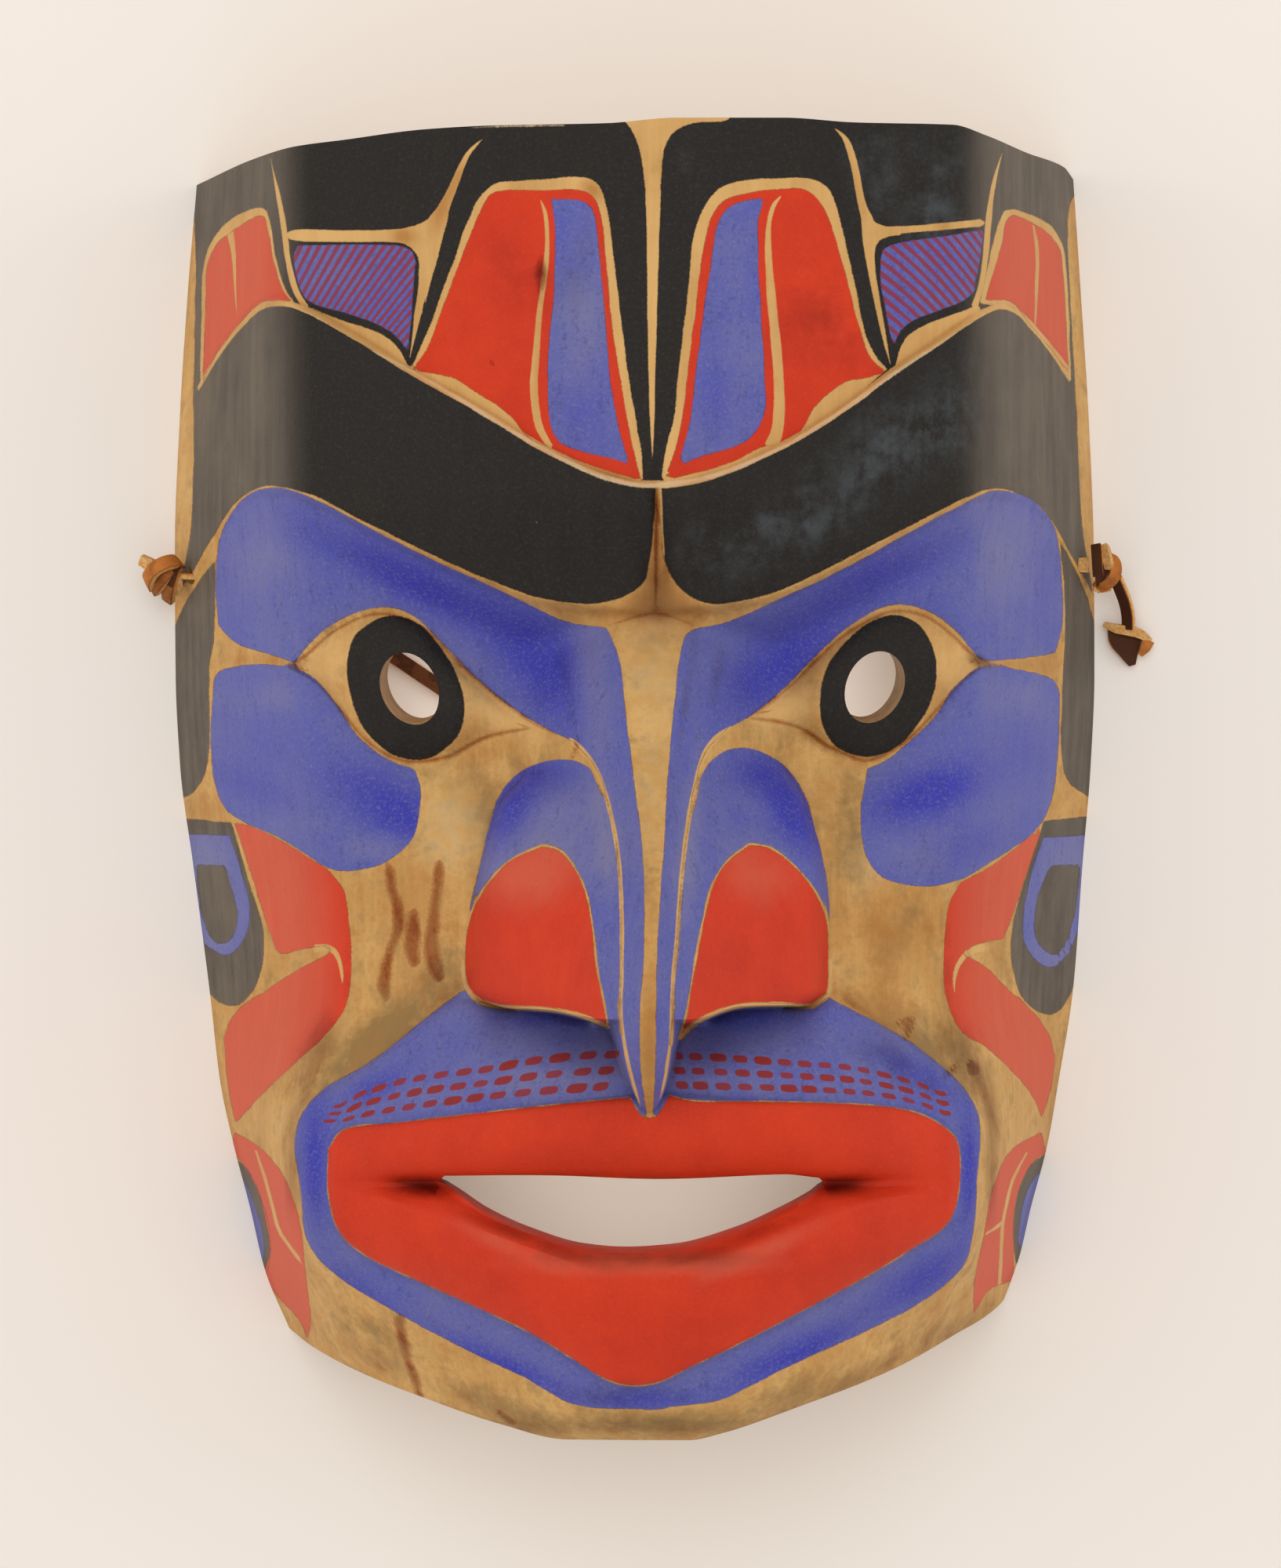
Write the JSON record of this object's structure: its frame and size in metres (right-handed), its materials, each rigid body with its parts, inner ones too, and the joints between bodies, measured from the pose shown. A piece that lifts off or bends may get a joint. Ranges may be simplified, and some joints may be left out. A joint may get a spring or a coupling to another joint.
{
  "type": "painted cedar mask",
  "caption": "Carved and painted cedar face mask with a hooked beak, pierced pupils and mouth, and a knotted leather thong through its side walls.",
  "frame": {"origin": "under the middle of the mask, on the plane of its flat back rim", "axes": "the mask lies face up: +Z out of the face, +Y towards the crown, +X towards the viewer's right"},
  "size_m": [0.2537, 0.3057, 0.148],
  "materials": {
    "painted_cedar": "bare satin cedar with matt blue, red and black paint",
    "leather": "smooth brown side, pale suede side"
  },
  "bodies": {
    "root": {"cedar_mask": "painted_cedar", "thong": "leather", "left_knot": "leather", "right_knot": "leather", "thong_end": "leather"}
  },
  "joints": []
}
